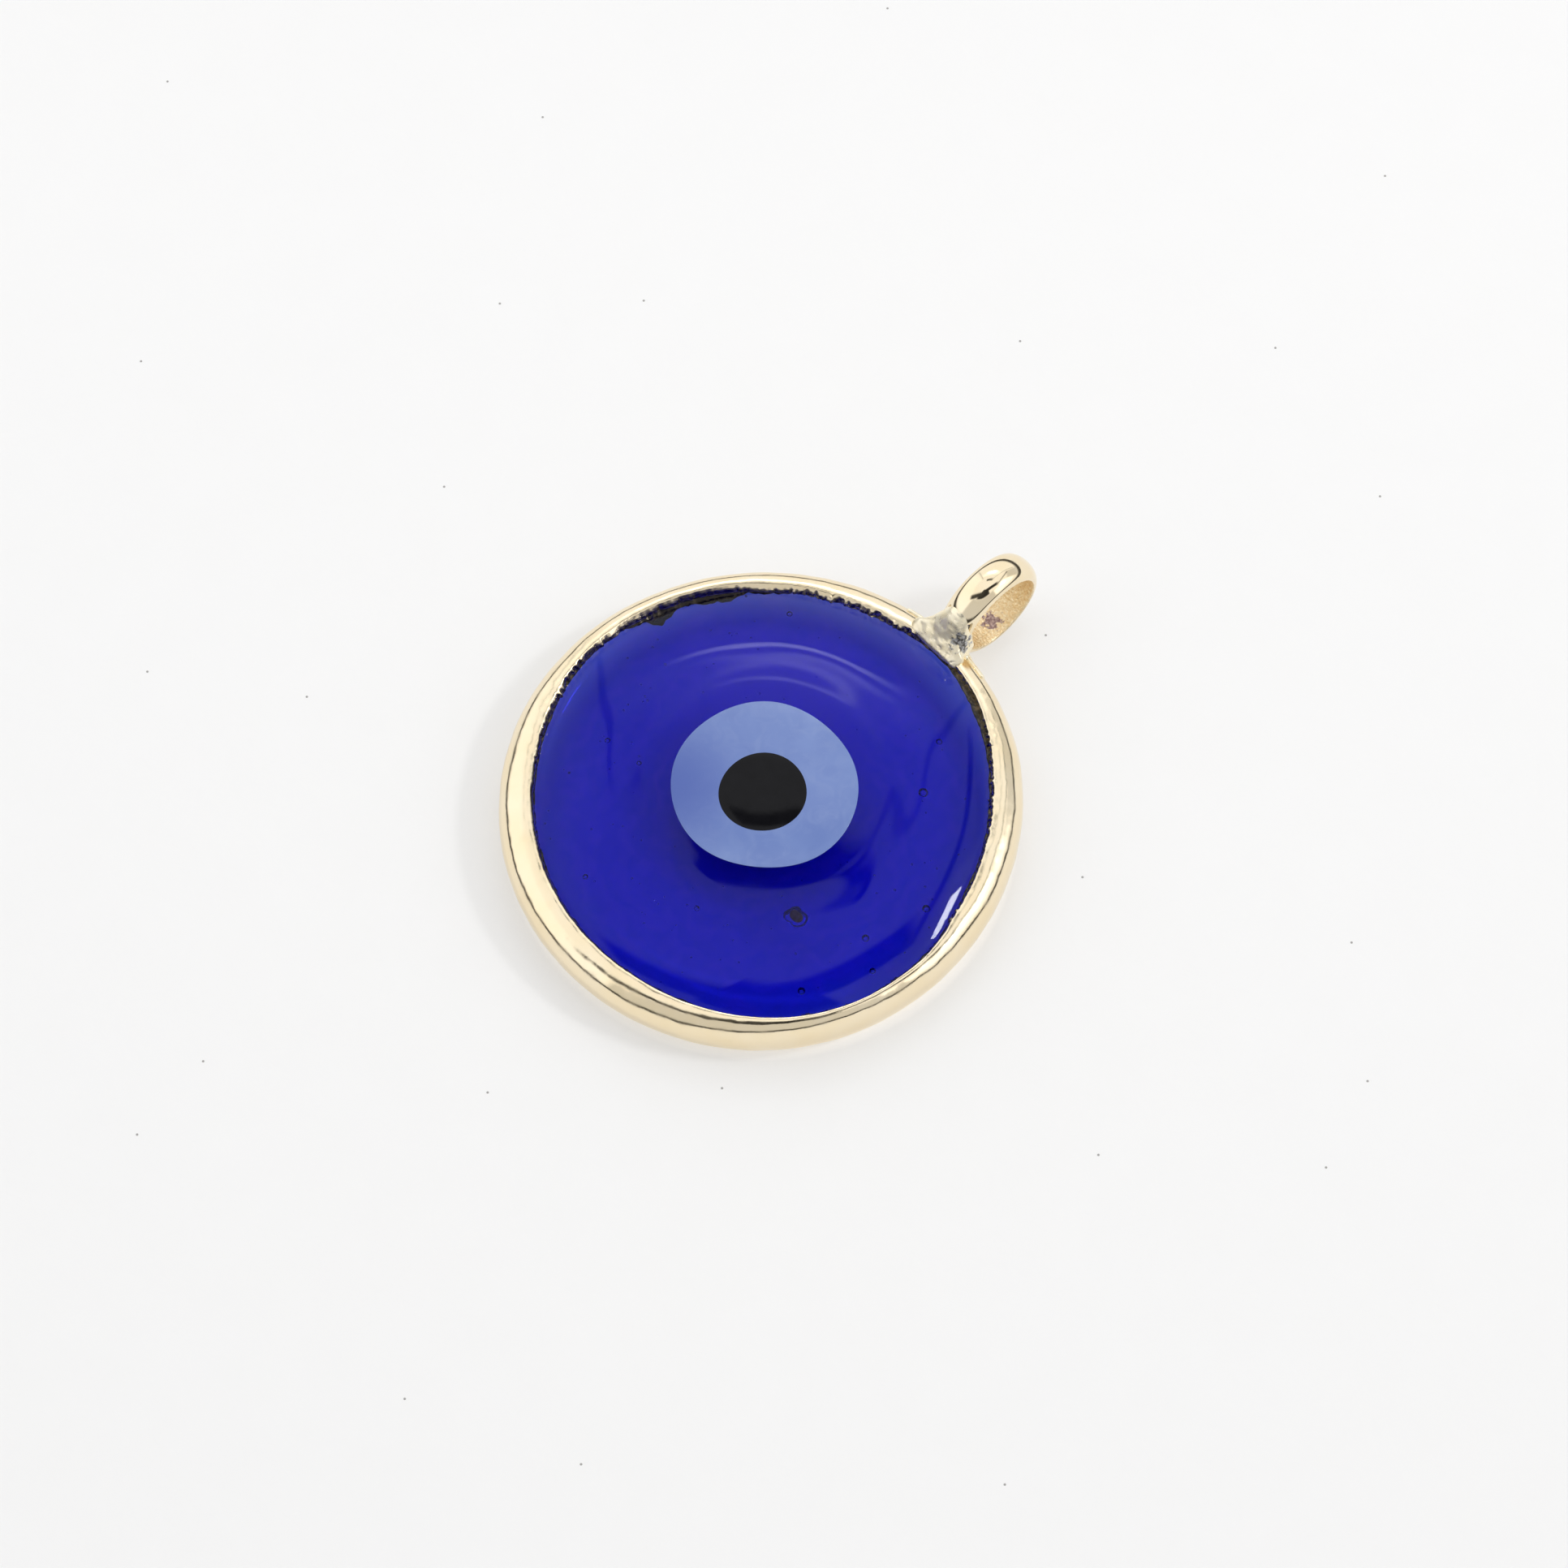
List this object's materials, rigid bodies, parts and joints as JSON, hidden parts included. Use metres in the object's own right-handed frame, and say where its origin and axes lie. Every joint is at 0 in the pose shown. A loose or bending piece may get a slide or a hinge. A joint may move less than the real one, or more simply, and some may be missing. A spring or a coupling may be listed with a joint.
{
  "type": "evil eye charm",
  "caption": "Small evil eye charm: domed cobalt glass disc with a pale blue and black eye, a gold-plated metal edge and a soldered half-round hanging ring.",
  "frame": {"origin": "centre of the flat glass back, which the charm lies on", "axes": "+Z out of the domed front, +Y from the disc's centre towards the hanging ring, +X to the right when the front is looked at with the ring upwards"},
  "size_m": [0.0218, 0.0267, 0.0049],
  "materials": {
    "cobalt_glass": "fire-polished, see-through",
    "pale_blue_glass": "opaque, fire-polished",
    "black_glass": "opaque, fire-polished",
    "conductive_paint": "matt, brushed on",
    "gold_plated_edge": "bright pale gold plate over electroformed copper",
    "gold_plated_solder": "lumpy, plated, worn through in places",
    "gold_plated_ring": "polished outside, rough in the bore"
  },
  "bodies": {
    "root": {"glass_disc": "cobalt_glass", "iris_dot": "pale_blue_glass", "pupil_dot": "black_glass", "base_coat": "conductive_paint", "gold_rim": "gold_plated_edge", "bail_neck": "gold_plated_solder", "bail_ring": "gold_plated_ring"}
  },
  "joints": []
}
